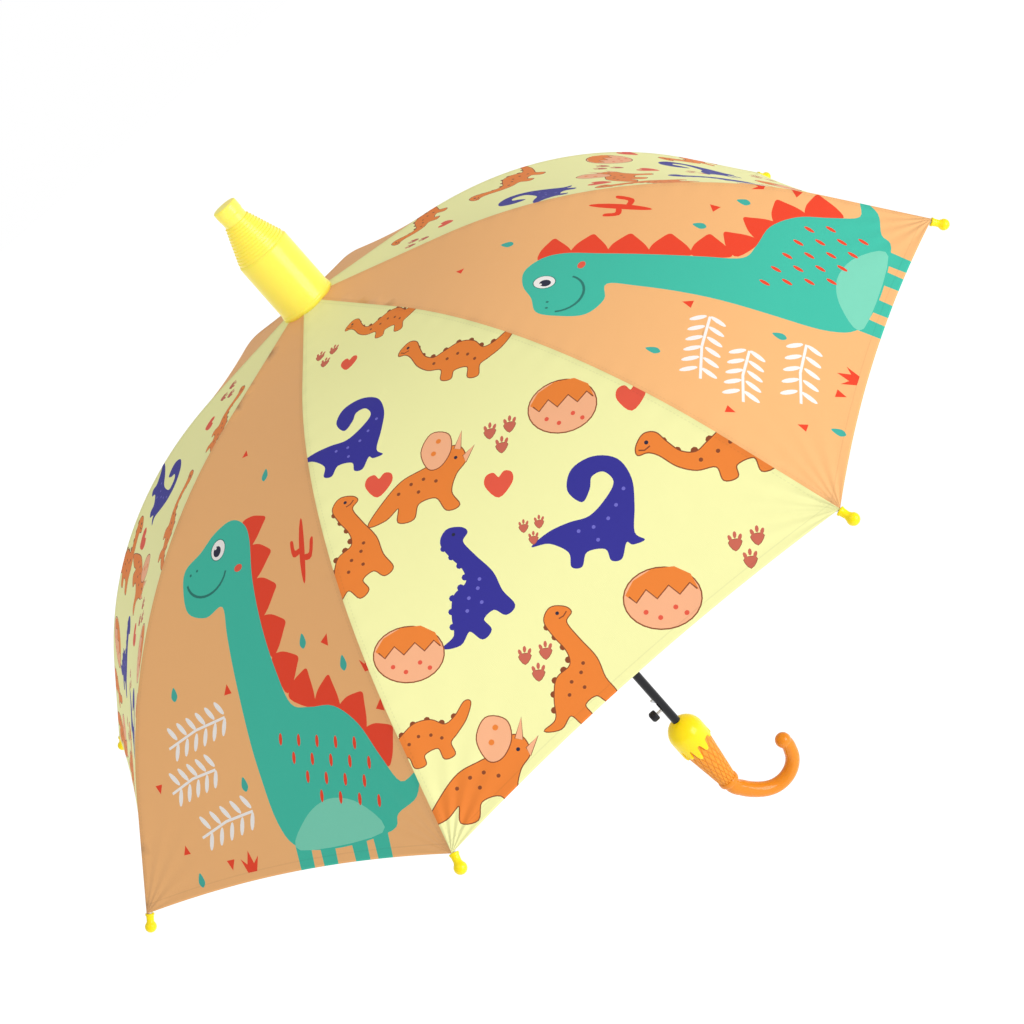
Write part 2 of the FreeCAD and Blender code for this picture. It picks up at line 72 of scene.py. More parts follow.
# Canopy: the same ridge line as the frame's ribs, in metres and radians. GRID is the mesh's spacing,
# and JOINT_RADIUS is where the ribs bend.
RIBS = 8
FIRST_RIB = math.radians(22.5)
HALF_GORE = math.pi / RIBS
RIDGE_START = 9.8 * MM
CROWN_RUN = 108 * MM
CROWN_SLOPE = math.radians(11)
BEND_RUN = 294 * MM
HEM_SLOPE = math.radians(49)
BEND_RADIUS = BEND_RUN / (HEM_SLOPE - CROWN_SLOPE)
NECK_HEIGHT = 95 * MM
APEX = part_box("drip_cover_neck")[1].z - NECK_HEIGHT
CLOTH_START = 1.0 * MM
CLOTH_END = 484 * MM
HEM_SCALLOP = 8.5 * MM
GORE_SAG = 5 * MM
GRID = 9 * MM
JOINT_RADIUS = 199 * MM

# Cloth: distances from seam and hem in metres, waves in radians per metre, fading per metre.
THREAD_SCALE = 1800
SLUB_SCALE = 60.0
PUCKER_WAVES = 330.0
PUCKER_FADE = 90.0
STITCH_WAVES = 2200.0
STITCH_GAP = -0.3
STITCH_WIDTH = 0.0004
SEAM_STITCH = 0.0032
HEM_STITCH = 0.0065
HEM_FOLD = 0.008
HEM_EDGE = 0.0012
CREASES = 17.0
CREASE_FADE = 26.0
INSIDE_PALER = 0.4
LIGHT_THROUGH = 0.15

# Drip cover and tip caps.
COVER_WALL = 0.7 * MM
COVER_LIP = 0.6 * MM
COVER_RINGS = 12
RING_GROOVE = 0.5 * MM
CAP_DEPTH = 2.5 * MM
CAP_BALL_RADIUS = 4.4 * MM
CAP_BALL_HEIGHT = 10 * MM

# Handle, the same dimensions as the frame's. SKIRT_DEPTH and DRIP_EXTRA are in millimetres, drips are
# (azimuth in degrees, length in mm), and the hook's line is averaged over HOOK_EASE on either side.
SCOOP_RADIUS = 17 * MM
SCOOP_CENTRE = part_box("handle_scoop")[1].z - 16.5 * MM
SCOOP_THICKNESS = 1.9 * MM
SCOOP_INSET = 0.6 * MM
SCOOP_LIP = 0.4
SKIRT_DEPTH = 8.0
DRIPS = ((251, 13), (285, 8.5), (222, 9), (190, 12), (160, 6), (128, 11),
         (97, 14), (66, 7.5), (35, 12), (3, 7), (330, 4))
DRIP_EXTRA = 1.5
DRIP_WIDTH = 0.17
COLLAR_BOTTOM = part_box("handle_cone")[0].z
CONE_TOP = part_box("handle_cone")[1].z
CONE_BOTTOM = COLLAR_BOTTOM + 5 * MM
CONE_LARGE = 16.3 * MM
CONE_SMALL = 8.8 * MM
WAFFLE_SPIRALS = 18
WAFFLE_TWIST = 22.88
WAFFLE_GROOVE_WIDTH = 0.3
WAFFLE_GROOVE_DEPTH = 0.6 * MM
HOOK_DROP = 2 * MM
HOOK_ENTRY_RADIUS = 20.4 * MM
HOOK_ENTRY_TURN = math.radians(40)
HOOK_RUN = 18.4 * MM
HOOK_BEND_RADIUS = 26 * MM
HOOK_TURN = math.radians(198)
HOOK_START_RADIUS = 7.6 * MM
HOOK_END_RADIUS = 6.3 * MM
HOOK_BALL_RADIUS = 7.4 * MM
HOOK_EASE = 0.12

# Opening spring.
SPRING_WIRE = 0.4 * MM
SPRING_RADIUS = 2.6 * MM
SPRING_TURNS = 40
SPRING_TURN_POINTS = 14

# Light and floor.
KEY_POWER = 28
FILL_POWER = 8
AMBIENT = 0.55
FLOOR_GLOW = 0.6
FLOOR_HEIGHT = -2.5
FLOOR_HALF = 30
LIGHT_TARGET_DROP = 0.15

# Camera: direction and roll, and its place from the apex along its own axes in metres.
CAMERA_ELEVATION = math.radians(23.28)
CAMERA_AZIMUTH = math.radians(-0.89)
CAMERA_ROLL = math.radians(41.14)
CAMERA_RIGHT = 0.1593
CAMERA_DOWN = 0.1640
CAMERA_BACK = 1.334
CAMERA_LENS = 60.7
CAMERA_SENSOR = 36
CAMERA_CLIP_END = 60


def rgb(red, green, blue):
    """Linear colour from a display colour in 0 to 255."""
    display = np.array((red, green, blue)) / 255
    linear = np.where(display < 0.04045, display / 12.92, ((display + 0.055) / 1.055) ** 2.4)
    return tuple(float(part) for part in linear)


YELLOW_CLOTH = rgb(249, 248, 176)
ORANGE_CLOTH = rgb(245, 184, 120)
GREEN = rgb(58, 190, 165)
GREEN_LIGHT = rgb(122, 212, 184)
GREEN_DARK = rgb(34, 120, 108)
RED = rgb(238, 64, 28)
BLUE = rgb(48, 44, 150)
BLUE_LIGHT = rgb(112, 108, 204)
ORANGE = rgb(240, 132, 48)
BROWN = rgb(140, 70, 34)
PEACH = rgb(250, 182, 138)
CORAL = rgb(234, 88, 64)
PAW = rgb(206, 104, 84)
WHITE = rgb(246, 242, 238)
TEAL = rgb(60, 176, 160)
INK = rgb(32, 34, 60)


# --- Canopy surface ---

def ridge(length):
    """Radius, drop below the apex and slope of the ridge at a length along it."""
    crown = np.minimum(length, CROWN_RUN)
    turned = np.clip(length - CROWN_RUN, 0, BEND_RUN) / BEND_RADIUS
    hem = np.maximum(length - CROWN_RUN - BEND_RUN, 0)
    slope = CROWN_SLOPE + turned
    radius = RIDGE_START + crown * math.cos(CROWN_SLOPE) + hem * np.cos(slope)
    radius = radius + BEND_RADIUS * (np.sin(slope) - math.sin(CROWN_SLOPE))
    drop = crown * math.sin(CROWN_SLOPE) + hem * np.sin(slope)
    drop = drop + BEND_RADIUS * (math.cos(CROWN_SLOPE) - np.cos(slope))
    return radius, drop, slope


def half_width(length):
    """Half the flat gore's width at a length along its ridges."""
    return ridge(length)[0] * math.sin(HALF_GORE)


def gore_surface(flat, azimuth):
    """Points of the row frame for flat points (across, along) of the gore at one azimuth."""
    across, along = flat[:, 0], flat[:, 1]
    radius, drop, slope = ridge(along)
    share = np.clip(np.abs(across) / np.maximum(radius * math.sin(HALF_GORE), 1e-6), 0, 1)
    sag = GORE_SAG * (1 - share**2) * np.sin(math.pi / 2 * np.clip(along / CLOTH_END, 0, 1))
    out = radius * math.cos(HALF_GORE) - sag * np.sin(slope)
    height = APEX - drop - sag * np.cos(slope)
    x = out * math.cos(azimuth) - across * math.sin(azimuth)
    y = out * math.sin(azimuth) + across * math.cos(azimuth)
    return np.stack([x, y, height], axis=1)


# --- Print outlines, in millimetres of a motif's own frame, +Y down towards the hem ---

def smooth(points, steps=5):
    """Closed Catmull-Rom curve through the points."""
    pts = np.array(points, float)
    before, after = np.roll(pts, 1, 0), np.roll(pts, -1, 0)
    second = np.roll(pts, -2, 0)
    curve = []
    for step in range(steps):
        t = step / steps
        square = (2 * before - 5 * pts + 4 * after - second) * t**2
        cube = (3 * pts - before - 3 * after + second) * t**3
        curve.append(0.5 * (2 * pts + (after - before) * t + square + cube))
    return np.stack(curve, axis=1).reshape(-1, 2)


def oval(x, y, wide, high, turn=0.0, steps=20):
    """Ellipse round (x, y), turned by an angle in degrees."""
    angles = np.linspace(0, 2 * math.pi, steps, endpoint=False)
    cosine, sine = math.cos(math.radians(turn)), math.sin(math.radians(turn))
    px, py = wide / 2 * np.cos(angles), high / 2 * np.sin(angles)
    return np.stack([x + cosine * px - sine * py, y + sine * px + cosine * py], axis=1)


def grown(outline, by):
    """The outline moved outwards by a distance."""
    pts = np.array(outline, float)
    ends = np.roll(pts, -1, 0)
    along = ends - np.roll(pts, 1, 0)
    area = (pts[:, 0] * ends[:, 1] - pts[:, 1] * ends[:, 0]).sum()
    out = np.stack([along[:, 1], -along[:, 0]], axis=1) * math.copysign(1, area)
    return pts + out / np.maximum(np.linalg.norm(out, axis=1, keepdims=True), 1e-9) * by


def inked(outline, colour, line, width=0.8):
    """A filled outline with a thin drawn edge."""
    return [(grown(outline, width), line), (outline, colour)]


def dots(places, size, colour):
    """Small round spots."""
    return [(oval(x, y, size, size, steps=8), colour) for x, y in places]


def stroke(points, width):
    """Closed outline of a pen line through the points."""
    pts = np.array(points, float)
    along = np.gradient(pts, axis=0)
    side = np.stack([-along[:, 1], along[:, 0]], axis=1)
    side *= width / 2 / np.maximum(np.linalg.norm(side, axis=1, keepdims=True), 1e-9)
    return np.concatenate([pts + side, (pts - side)[::-1]])


def placed(shapes, x, y, size=1.0, turn=0.0, flip=False):
    """Shapes (outline, colour) centred, scaled, turned and moved into the gore, in metres."""
    cosine, sine = math.cos(math.radians(turn)), math.sin(math.radians(turn))
    first = np.array(shapes[0][0], float)
    middle = (first.min(axis=0) + first.max(axis=0)) / 2
    out = []
    for outline, colour in shapes:
        px, py = ((np.array(outline, float) - middle) * size).T
        if flip:
            px = -px
        moved = np.stack([x + cosine * px - sine * py, y + sine * px + cosine * py], axis=1)
        out.append((moved * MM, colour))
    return out


def small_dinosaur(outline, plates, spots, eye, mouth, colours):
    """Inked outline with back plates, spots, an eye and a mouth; colours are body, spot and line."""
    body, spot, line = colours
    shapes = inked(outline, body, line) + dots(plates, 5.4, line) + [(outline, body)]
    shapes += dots(spots, 3.0, spot) + dots([eye], 3.0, INK)
    return shapes + [(stroke(mouth, 1.0), line)]


def long_neck(body, spot, line):
    """Small dinosaur with a raised neck, facing left, with a row of plates on its back."""
    outline = smooth([(-30, -40), (-22, -47), (-12, -43), (-9, -30), (-8, -14), (-2, -4), (12, -4),
                      (24, 6), (34, 18), (46, 18), (36, 26), (24, 24), (22, 36), (13, 36), (11, 26),
                      (0, 27), (-3, 37), (-12, 37), (-14, 22), (-20, 6), (-21, -14), (-23, -30),
                      (-31, -33)])
    plates = [(-10, -38), (-9, -28), (-8, -18), (-4, -8), (4, -5), (14, -4), (22, 3), (30, 12)]
    spots = [(-4, 6), (6, 6), (14, 12), (2, 16), (-10, 2)]
    mouth = [(-29, -36), (-25, -35), (-21, -36)]
    return small_dinosaur(outline, plates, spots, (-23, -40), mouth, (body, spot, line))


def low_neck(body, spot, line):
    """Small dinosaur with its neck stretched forward, facing left, with its tail up."""
    outline = smooth([(-52, -14), (-46, -21), (-38, -20), (-32, -12), (-24, -3), (-14, 0), (-5, -5),
                      (8, -12), (22, -11), (32, -4), (42, -8), (52, -17), (57, -15), (50, -3), (40, 6),
                      (33, 12), (34, 22), (25, 23), (22, 13), (10, 15), (9, 23), (0, 23), (-3, 13),
                      (-16, 12), (-28, 6), (-38, -4), (-45, -8), (-52, -8)])
    plates = [(-34, -13), (-26, -4), (-15, -1), (-4, -6), (7, -12), (19, -12), (30, -6), (41, -8)]
    spots = [(0, 3), (9, -1), (19, 1), (27, 6), (-12, 6)]
    mouth = [(-51, -11), (-47, -10), (-43, -12)]
    return small_dinosaur(outline, plates, spots, (-45, -15), mouth, (body, spot, line))


def swan_neck(body, spot):
    """Dark dinosaur with its neck curled over its back, facing right."""
    outline = smooth([(-8, -20), (-17, -30), (-13, -44), (2, -50), (18, -45), (26, -30), (26, -12),
                      (24, 6), (30, 12), (22, 14), (18, 12), (14, 22), (7, 22), (4, 14), (-8, 14),
                      (-12, 23), (-19, 22), (-20, 12), (-32, 4), (-44, 4), (-32, -4), (-18, -8),
                      (-4, -10), (8, -20), (14, -30), (8, -38), (0, -36), (-2, -28)])
    return [(outline, body)] + dots([(-12, -1), (-2, -2), (8, -6), (14, -14), (0, 7), (20, -24)], 2.6, spot)


def three_horn(body, frill, line):
    """Small horned dinosaur with a round frill, facing right."""
    outline = smooth([(-44, 30), (-32, 12), (-18, -2), (-2, -8), (10, -12), (20, -22), (30, -20),
                      (34, -8), (26, 2), (22, 16), (28, 28), (18, 30), (10, 18), (-4, 20), (-8, 32),
                      (-20, 32), (-20, 20), (-30, 28)])
    frill_shape = smooth([(4, -8), (-2, -24), (6, -38), (20, -34), (22, -20), (14, -8)])
    horns = [[(25, -20), (31, -34), (30, -18)], [(32, -12), (41, -19), (34, -6)]]
    shapes = inked(outline, body, line) + inked(frill_shape, frill, line)
    for horn in horns:
        shapes += inked(horn, PEACH, line, 0.6)
    shapes += dots([(12, -30), (8, -20)], 4.4, body)
    shapes += dots([(-20, 8), (-10, 2), (0, 0), (-4, 10), (10, 4)], 3.0, line)
    shapes += dots([(26, -12)], 3.0, INK)
    return shapes


def egg():
    """Hatching egg: a peach shell with a jagged cap and freckles."""
    shell = oval(0, 0, 44, 35, 8, 28)
    jags = [(-15, 1), (-9, -6), (-3, 0), (4, -7), (10, -1), (16, -7)]
    crown = [(21, -2), (17, -12), (8, -17.5), (-5, -17.5), (-16, -12)]
    shapes = inked(shell, PEACH, BROWN) + [([(-21, -4)] + jags + crown, ORANGE)]
    shapes += dots([(-10, 7), (-2, 11), (7, 6), (13, 10)], 3.0, CORAL)
    shapes.append((stroke([(-19, -3)] + jags + [(20, -3)], 0.9), BROWN))
    return shapes


def heart():
    """Small filled heart."""
    outline = smooth([(0, 9), (-9, 0), (-9, -7), (-4, -9), (0, -5), (4, -9), (9, -7), (9, 0)], 4)
    return inked(outline, CORAL, RED, 0.4)


def paws():
    """Three three-toed footprints."""
    toes = [(-3.4, -3), (0, -5), (3.4, -3)]
    prints = []
    for x, y in ((-8, -4), (7, -6), (1, 9)):
        pad = smooth([(x, y + 6), (x - 4.5, y), (x, y - 2), (x + 4.5, y)], 3)
        prints += inked(pad, PAW, BROWN, 0.4)
        prints += [(oval(x + dx, y + dy, 2.6, 5, dx * 6, 8), PAW) for dx, dy in toes]
    return prints


def triangle(colour, size=7.0):
    """Small filled triangle, its point up."""
    return [([(0, -size * 0.6), (size * 0.6, size * 0.5), (-size * 0.6, size * 0.5)], colour)]


def drop(colour):
    """Small filled drop."""
    return [(smooth([(0, -6), (-3.4, 1), (0, 5), (3.4, 1)], 4), colour)]


def tuft(colour):
    """Small tuft of grass."""
    return [([(-4, 5), (-8, -4), (-3, 0), (0, -8), (3, 0), (8, -4), (4, 5)], colour)]


def cactus():
    """Upright cactus with two arms."""
    stem = oval(0, 0, 7, 60, steps=16)
    arms = [smooth([(-3, 2), (-12, 2), (-15, -12), (-11, -12), (-9, -3), (-3, -3)], 3),
            smooth([(3, 10), (12, 10), (15, -6), (11, -6), (9, 5), (3, 5)], 3)]
    return [(stem, RED)] + [(arm, RED) for arm in arms]


def sprig(length, height, pairs):
    """White fern sprig lying on its side: a stem with leaves in pairs."""
    shapes = [(stroke([(-length / 2, 2), (0, -1), (length / 2, 1)], 2.0), WHITE)]
    for number in range(pairs):
        x = -length / 2 + length * (number + 0.5) / pairs
        for way in (-1, 1):
            shapes.append((oval(x + 2, way * height * 0.27, 4.2, height * 0.52, way * 32, 12), WHITE))
    return shapes


def plate(start, end, height):
    """Rounded back plate that stands on the line from start to end."""
    start, end = np.array(start, float), np.array(end, float)
    along = end - start
    out = np.array([along[1], -along[0]]) / np.linalg.norm(along)
    mid = (start + end) / 2
    root = out * -5
    return smooth([start + root, start + out * height * 0.3, mid + out * height * 0.8 - along * 0.2,
                   mid + out * height, mid + out * height * 0.8 + along * 0.16, end + out * height * 0.2,
                   end + root], 4)


def big_dinosaur():
    """Tall long-necked dinosaur with a row of back plates, in gore millimetres."""
    skin = smooth([(-62, 252), (-60, 236), (-44, 226), (-30, 214), (-12, 208), (4, 216), (12, 232),
                   (16, 262), (24, 300), (34, 336), (44, 362), (62, 368), (86, 372), (106, 388),
                   (119, 412), (132, 432), (150, 428), (143, 444), (122, 452), (112, 462), (60, 466),
                   (18, 460), (2, 440), (-4, 400), (-8, 350), (-14, 300), (-18, 276), (-36, 280),
                   (-56, 272)])
    spine = [(6, 214), (15, 238), (20, 266), (27, 296), (36, 326), (46, 354), (70, 366), (94, 374),
             (114, 394), (128, 420)]
    plates = []
    for (x0, y0), (x1, y1) in zip(spine, spine[1:]):
        plates.append((plate((x0, y0), (x0 + (x1 - x0) * 0.9, y0 + (y1 - y0) * 0.9), 20), RED))
    legs = [([(x, 452), (x + 16, 452), (x + 14, 480), (x, 480)], GREEN) for x in (14, 38, 70, 92)]
    belly = smooth([(18, 462), (30, 442), (58, 432), (88, 440), (102, 462)])
    shapes = legs + plates + [(skin, GREEN), (belly, GREEN_LIGHT)]
    for row in range(4):
        for number in range(5 - row // 2):
            x, y = 26 + number * 18 + row * 9, 384 + row * 15 + number * 4
            shapes.append((oval(x, y, 3.4, 9.0, 14, 10), RED))
    bend = np.linspace(math.radians(165), math.radians(10), 14)
    smile = np.stack([-36 + 22 * np.cos(bend), 245 + 18 * np.sin(bend)], axis=1)
    shapes.append((stroke(smile, 2.0), GREEN_DARK))
    x, y, wide = -24, 229, 15
    shapes += inked(oval(x, y, wide, wide * 1.1), WHITE, GREEN_DARK, 0.7)
    shapes.append((oval(x - 1, y + 1, wide * 0.55, wide * 0.6, steps=14), INK))
    shapes += dots([(x - 3, y - 2)], wide * 0.16, WHITE)
    shapes += dots([(-54, 242), (-47, 240)], 2.4, GREEN_DARK)
    shapes.append((oval(0, 250, 9, 6, steps=10), CORAL))
    return [(np.array(outline, float) * MM, colour) for outline, colour in shapes]


def orange_print():
    """Marks of the orange gore: the tall dinosaur, a cactus, fern sprigs and small fillers."""
    triangles = ((-20, 338, 1.0, 0), (-56, 462, 1.0, 180), (90, 326, 1.0, 30), (-100, 444, 0.9, 0),
                 (-8, 150, 0.8, 0), (-112, 396, 0.9, 180), (132, 380, 1.0, 20))
    marks = big_dinosaur()
    marks += placed(cactus(), 72, 257, 0.85, -4)
    for x, y, length, pairs in ((-60, 362, 66, 6), (-74, 396, 52, 5), (-50, 432, 60, 5)):
        marks += placed(sprig(length, 27, pairs), x, y, 1.0, -9)
    for x, y, size, turn in triangles:
        marks += placed(triangle(RED), x, y, size, turn)
    for x, y in ((-22, 408), (-92, 468), (66, 322), (104, 346), (22, 180), (-78, 330)):
        marks += placed(drop(TEAL), x, y)
    return marks + placed(tuft(RED), -36, 462, 1.2) + placed(tuft(RED), 128, 350, 1.0)


def yellow_print():
    """Marks of the yellow gore. Layout rows are shapes, x, y, size, turn and flip."""
    raised, low = long_neck(ORANGE, BROWN, BROWN), low_neck(ORANGE, BROWN, BROWN)
    curled, blue = swan_neck(BLUE, BLUE_LIGHT), long_neck(BLUE, BLUE_LIGHT, BLUE)
    horned = three_horn(ORANGE, PEACH, BROWN)
    layout = [
        (low, 47, 202, 0.86, 48, False), (low, 30, 112, 0.7, 42, False), (low, 133, 402, 0.98, 30, False),
        (raised, -94, 276, 0.86, -6, True), (raised, -37, 443, 0.84, -4, True),
        (low, -136, 412, 0.78, 24, False), (curled, -44, 192, 0.9, 37, False),
        (curled, 42, 372, 1.0, 34, False), (blue, -52, 355, 0.86, -8, True),
        (horned, -28, 273, 0.9, 34, False), (horned, -120, 460, 0.9, 32, False),
        (egg(), 78, 303, 1.08, 38, False), (egg(), 42, 450, 1.12, 36, False),
        (egg(), -102, 366, 1.05, 36, False),
    ]
    marks = []
    for shapes, x, y, size, turn, flip in layout:
        marks += placed(shapes, x, y, size, turn, flip)
    for x, y, size in ((-47, 250, 1.0), (13, 315, 1.0), (114, 334, 1.0), (-8, 124, 0.7)):
        marks += placed(heart(), x, y, size, 36)
    for x, y, size in ((31, 280, 0.95), (-48, 420, 0.9), (98, 456, 0.95), (-21, 88, 0.8), (6, 352, 0.7)):
        marks += placed(paws(), x, y, size, 36)
    return marks


# --- Canopy mesh ---

def closed_edges(start, count):
    """Edges of a closed loop of points."""
    return [(start + i, start + (i + 1) % count) for i in range(count)]


def hem_line(across_share):
    """Length of the scalloped hem at a share of the gore's half width."""
    return CLOTH_END - HEM_SCALLOP * (1 - across_share**2)


def gore_outline():
    """Flat outline of a gore, down one seam, along the hem and up the other seam."""
    down = np.linspace(CLOTH_START, CLOTH_END, 70)
    right = np.stack([half_width(down), down], axis=1)
    shares = np.linspace(1, -1, 48)[1:-1]
    hem = hem_line(shares)
    bottom = np.stack([shares * half_width(hem), hem], axis=1)
    left = right[::-1] * np.array([-1, 1])
    return np.concatenate([right, bottom, left])


def joint_line():
    """Flat line across a gore where both neighbouring ribs' bends cross the cloth."""
    lengths = np.linspace(CLOTH_START, CLOTH_END, 2000)
    radii = ridge(lengths)[0]
    shares = np.linspace(-1, 1, 41)
    points = []
    for share in shares:
        reach = radii * (math.cos(HALF_GORE) ** 2 + abs(share) * math.sin(HALF_GORE) ** 2)
        along = float(np.interp(JOINT_RADIUS, reach, lengths))
        points.append((share * float(half_width(along)), along))
    return np.array(points)


def inside(points, outline):
    """Even-odd test of many points against one outline."""
    x, y = points[:, 0], points[:, 1]
    ends = np.roll(outline, -1, 0)
    found = np.zeros(len(points), bool)
    for (x0, y0), (x1, y1) in zip(outline, ends):
        if y0 != y1:
            crosses = (y0 > y) != (y1 > y)
            found ^= crosses & (x < (x1 - x0) * (y - y0) / (y1 - y0) + x0)
    return found


def flat_gore(marks, ground):
    """Triangulated flat gore: points, triangles and a colour for each triangle."""
    outline = gore_outline()
    coords, edges = [tuple(p) for p in outline], closed_edges(0, len(outline))
    lines = [joint_line(), np.array([(0, s) for s in np.linspace(CLOTH_START, hem_line(0.0), 60)])]
    for line in lines:
        first = len(coords)
        coords += [tuple(p) for p in line]
        edges += [(first + i, first + i + 1) for i in range(len(line) - 1)]
    for shape, _ in marks:
        first = len(coords)
        coords += [tuple(p) for p in np.array(shape)]
        edges += closed_edges(first, len(shape))
    rows = np.arange(CLOTH_START + GRID, CLOTH_END, GRID)
    for row, along in enumerate(rows):
        limit = float(half_width(along)) - GRID * 0.4
        across = np.arange(-limit, limit, GRID) + (GRID / 2 if row % 2 else 0)
        coords += [(float(a), float(along)) for a in across if abs(a) < limit]
    points, _, faces, *_ = delaunay_2d_cdt([Vector(c) for c in coords], edges, [], 0, 1e-6)
    flat = np.array([tuple(p) for p in points])
    faces = np.array([f for f in faces if len(f) == 3])
    middle = flat[faces].mean(axis=1)
    within = inside(middle, outline)
    faces, middle = faces[within], middle[within]
    colours = np.tile(np.array(ground), (len(faces), 1))
    for shape, colour in marks:
        colours[inside(middle, np.array(shape))] = colour
    return flat, faces, colours, middle


def mesh_object(name, points, faces):
    """Smooth-shaded object in the scene, from points and faces."""
    mesh = bpy.data.meshes.new(name)
    mesh.from_pydata([tuple(p) for p in points], [], [tuple(int(i) for i in f) for f in faces])
    mesh.validate()
    mesh.polygons.foreach_set("use_smooth", [True] * len(mesh.polygons))
    made = bpy.data.objects.new(name, mesh)
    bpy.context.scene.collection.objects.link(made)
    return made


def add_values(mesh, name, kind, domain, values):
    """Stores values on the mesh for its material."""
    layer = mesh.attributes.new(name, kind, domain)
    field = "color" if kind == "FLOAT_COLOR" else "value"
    layer.data.foreach_set(field, np.asarray(values, np.float32).ravel())


def joint_length_at(flat):
    """Length of the bend line at each flat point's share of the gore's width."""
    line = joint_line()
    share = flat[:, 0] / np.maximum(half_width(flat[:, 1]), 1e-6)
    shares = line[:, 0] / half_width(line[:, 1])
    return np.interp(share, shares, line[:, 1])


def canopy_piece(name, halves):
    """One piece of cloth over a rib, from the half gores on its two sides."""
    points, faces, colours = [], [], []
    seam, hem, along = [], [], []
    flat_area, first = 0.0, 0
    for flat, triangles, paint, azimuth in halves:
        used, renumbered = np.unique(triangles, return_inverse=True)
        spots = flat[used]
        triangles = renumbered.reshape(-1, 3)
        width = half_width(spots[:, 1])
        points.append(gore_surface(spots, azimuth))
        faces.append(triangles + first)
        colours.append(paint)
        seam.append(width - np.abs(spots[:, 0]))
        hem.append(hem_line(spots[:, 0] / np.maximum(width, 1e-6)) - spots[:, 1])
        along.append(spots[:, 1])
        a, b, c = (spots[triangles[:, i]] for i in range(3))
        cross = (b - a)[:, 0] * (c - a)[:, 1] - (b - a)[:, 1] * (c - a)[:, 0]
        flat_area += float(np.abs(cross).sum() / 2)
        first += len(spots)
    points, faces = np.concatenate(points), np.concatenate(faces)
    a, b, c = (points[faces[:, i]] for i in range(3))
    inward = np.cross(b - a, c - a)[:, 2] < 0
    faces[inward] = faces[inward][:, ::-1]
    piece = mesh_object(name, points, faces)
    paint = np.concatenate([np.concatenate(colours), np.ones((len(faces), 1))], axis=1)
    add_values(piece.data, "print", "FLOAT_COLOR", "FACE", paint)
    for stored, values in (("seam", seam), ("hem", hem), ("along", along)):
        add_values(piece.data, stored, "FLOAT", "POINT", np.concatenate(values))
    return piece, flat_area


def build_canopy(cloth):
    """Sixteen pieces: over each rib, one on its inner half and one on its outer half."""
    kinds = [flat_gore(orange_print(), ORANGE_CLOTH), flat_gore(yellow_print(), YELLOW_CLOTH)]
    joints = [joint_length_at(middle) for _, _, _, middle in kinds]
    for rib in range(1, RIBS + 1):
        azimuth = FIRST_RIB + 2 * HALF_GORE * (rib - 1)
        for zone, body in (("inner", f"rib_{rib}"), ("outer", f"rib_tip_{rib}")):
            halves = []
            for gore, side in ((rib, -1), (rib - 1, 1)):
                flat, faces, colours, middle = kinds[(gore + 1) % 2]
                bend = joints[(gore + 1) % 2]
                chosen = (middle[:, 0] * side > 0) & ((middle[:, 1] > bend) == (zone == "outer"))
                halves.append((flat, faces[chosen], colours[chosen], azimuth - side * HALF_GORE))
            piece, area = canopy_piece(f"canopy_{zone}_{rib}", halves)
            finish_piece(piece, cloth, body, "cloth", f"canopy_{rib}")
            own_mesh(piece)


# --- Materials ---

def new_material(name, colour, roughness, metallic=0.0, coat=0.0):
    """Material with one Principled shader."""
    made = bpy.data.materials.new(name)
    made.use_nodes = True
    shader = made.node_tree.nodes["Principled BSDF"]
    shader.inputs["Base Color"].default_value = (*colour, 1)
    shader.inputs["Roughness"].default_value = roughness
    shader.inputs["Metallic"].default_value = metallic
    shader.inputs["Coat Weight"].default_value = coat
    shader.inputs["Coat Roughness"].default_value = 0.08
    return made


def add_bump(material, source, strength, distance):
    """Relief of the shader's surface, from a node's output."""
    nodes, links = material.node_tree.nodes, material.node_tree.links
    bump = nodes.new("ShaderNodeBump")
    bump.inputs["Strength"].default_value = strength
    bump.inputs["Distance"].default_value = distance
    links.new(source, bump.inputs["Height"])
    links.new(bump.outputs["Normal"], nodes["Principled BSDF"].inputs["Normal"])


def noise(material, scale):
    """Output of a fine noise that is fixed to the object."""
    nodes, links = material.node_tree.nodes, material.node_tree.links
    where = nodes.new("ShaderNodeTexCoord")
    made = nodes.new("ShaderNodeTexNoise")
    made.inputs["Scale"].default_value = scale
    made.inputs["Detail"].default_value = 3.0
    links.new(where.outputs["Object"], made.inputs["Vector"])
    return made.outputs["Fac"]


def math_node(material, operation, first, second=0.0, third=0.0):
    """Output of a math node whose values are numbers or other nodes' outputs."""
    node = material.node_tree.nodes.new("ShaderNodeMath")
    node.operation = operation
    for place, value in enumerate((first, second, third)):
        if isinstance(value, bpy.types.NodeSocket):
            material.node_tree.links.new(value, node.inputs[place])
        else:
            node.inputs[place].default_value = value
    return node.outputs[0]


def stored_value(material, name, output="Fac"):
    """Output of a node that reads one of the mesh's stored values."""
    node = material.node_tree.nodes.new("ShaderNodeAttribute")
    node.attribute_name = name
    return node.outputs[output]


def mixed(material, factor, first, second, blend="MIX"):
    """Output of a colour mix whose values are numbers, colours or other nodes' outputs."""
    mix = material.node_tree.nodes.new("ShaderNodeMix")
    mix.data_type = "RGBA"
    mix.blend_type = blend
    for name, entry in (("Factor", factor), ("A", first), ("B", second)):
        if isinstance(entry, bpy.types.NodeSocket):
            material.node_tree.links.new(entry, mix.inputs[name])
        else:
            mix.inputs[name].default_value = entry
    return mix.outputs["Result"]


